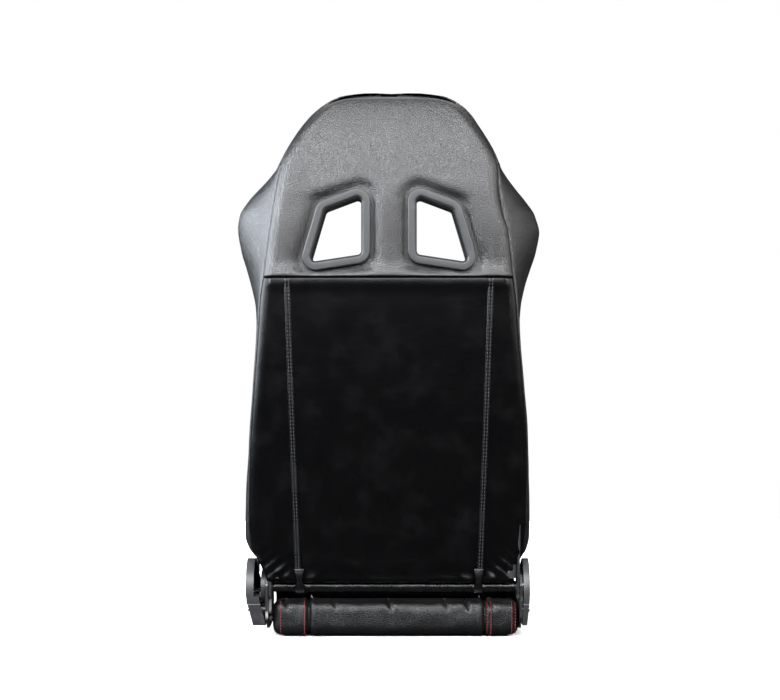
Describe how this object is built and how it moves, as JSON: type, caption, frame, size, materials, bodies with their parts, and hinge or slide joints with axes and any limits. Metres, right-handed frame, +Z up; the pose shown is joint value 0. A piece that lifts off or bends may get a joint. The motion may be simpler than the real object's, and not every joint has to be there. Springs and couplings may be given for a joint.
{
  "type": "reclining racing seat",
  "caption": "Reclining sport bucket seat: bolstered cushion on a steel base, hinged high back with two harness slots, side recline lever.",
  "frame": {"origin": "centre of the four slider bolt holes, in the plane of the base rails' soles", "axes": "+Z up, +Y towards the back of the seat, +X towards the recline lever (the sitter's left)"},
  "size_m": [0.518, 0.5953, 0.925],
  "materials": {
    "vinyl": "satin",
    "foam": "matte",
    "black_plastic": "satin",
    "grip_rubber": "matte",
    "frame_paint": "satin",
    "zinc_plate": "satin",
    "spring_steel": "satin"
  },
  "bodies": {
    "base": {"base_rail_left": "frame_paint", "base_rail_right": "frame_paint", "base_cross_tubes": "frame_paint", "slider_weld_nuts": "zinc_plate", "spring_crossbar": "frame_paint", "seat_springs": "spring_steel", "seat_spring_clips": "spring_steel", "cushion_centre_foam": "foam", "cushion_bolster_foam_left": "foam", "cushion_bolster_foam_right": "foam", "cushion_centre_cover": "vinyl", "cushion_nose_cover": "vinyl", "cushion_bolster_cover_left": "vinyl", "cushion_bolster_cover_right": "vinyl", "valley_cover": "vinyl", "rear_roll_foam": "foam", "rear_roll_cover": "vinyl", "recliner_base_plate_left": "frame_paint", "recliner_base_plate_right": "frame_paint", "recliner_bolts": "zinc_plate", "recliner_nuts": "zinc_plate", "recliner_spacers": "frame_paint", "pivot_stud_left": "zinc_plate", "pivot_stud_right": "zinc_plate", "pawl_pin": "zinc_plate", "recliner_shield_left": "black_plastic", "recliner_shield_right": "black_plastic", "shield_posts": "black_plastic", "shield_screws": "zinc_plate", "recline_spring": "spring_steel", "lever_return_spring": "zinc_plate"},
    "backrest": {"back_frame_hoop": "frame_paint", "back_frame_crossbar": "frame_paint", "back_frame_lower_bar": "frame_paint", "recliner_sector_arm": "spring_steel", "recliner_plain_arm": "frame_paint", "back_springs": "spring_steel", "back_spring_clips": "spring_steel", "back_centre_foam": "foam", "back_rear_pad": "foam", "shoulder_foam": "foam", "headrest_foam": "foam", "back_bolster_foam_left": "foam", "back_bolster_foam_right": "foam", "back_centre_cover": "vinyl", "headrest_cover": "vinyl", "back_bolster_cover_left": "vinyl", "back_bolster_cover_right": "vinyl", "rear_cover_upper": "vinyl", "rear_cover_lower": "vinyl", "rear_seam_strips": "vinyl", "hem_wrap": "vinyl", "hem_straps": "vinyl", "harness_bezel_rear_left": "black_plastic", "harness_bezel_rear_right": "black_plastic", "harness_bezel_front_left": "black_plastic", "harness_bezel_front_right": "black_plastic"},
    "lever": {"lever_arm": "frame_paint", "lever_grip": "grip_rubber"},
    "pawl": {"recliner_pawl": "spring_steel"}
  },
  "joints": [
    {"name": "recline", "type": "hinge", "parent": "base", "child": "backrest", "pos_m": [0, 0.237, 0.086], "axis": [-1, 0, 0], "range_deg": [-25, 60], "deforming": ["recline_spring"]},
    {"name": "lever", "type": "hinge", "parent": "base", "child": "lever", "pos_m": [0.25, 0.172, 0.058], "axis": [-1, 0, 0], "range_deg": [0, 25], "stiffness_Nm_per_rad": 2, "springref_deg": -20.05, "deforming": ["lever_return_spring"]},
    {"name": "pawl", "type": "hinge", "parent": "base", "child": "pawl", "pos_m": [0.214, 0.22112, 0.02849], "axis": [1, 0, 0], "range_deg": [0, 8]}
  ],
  "couplings": [
    {"joint": "pawl", "follows": "lever", "ratio": 0.28}
  ]
}
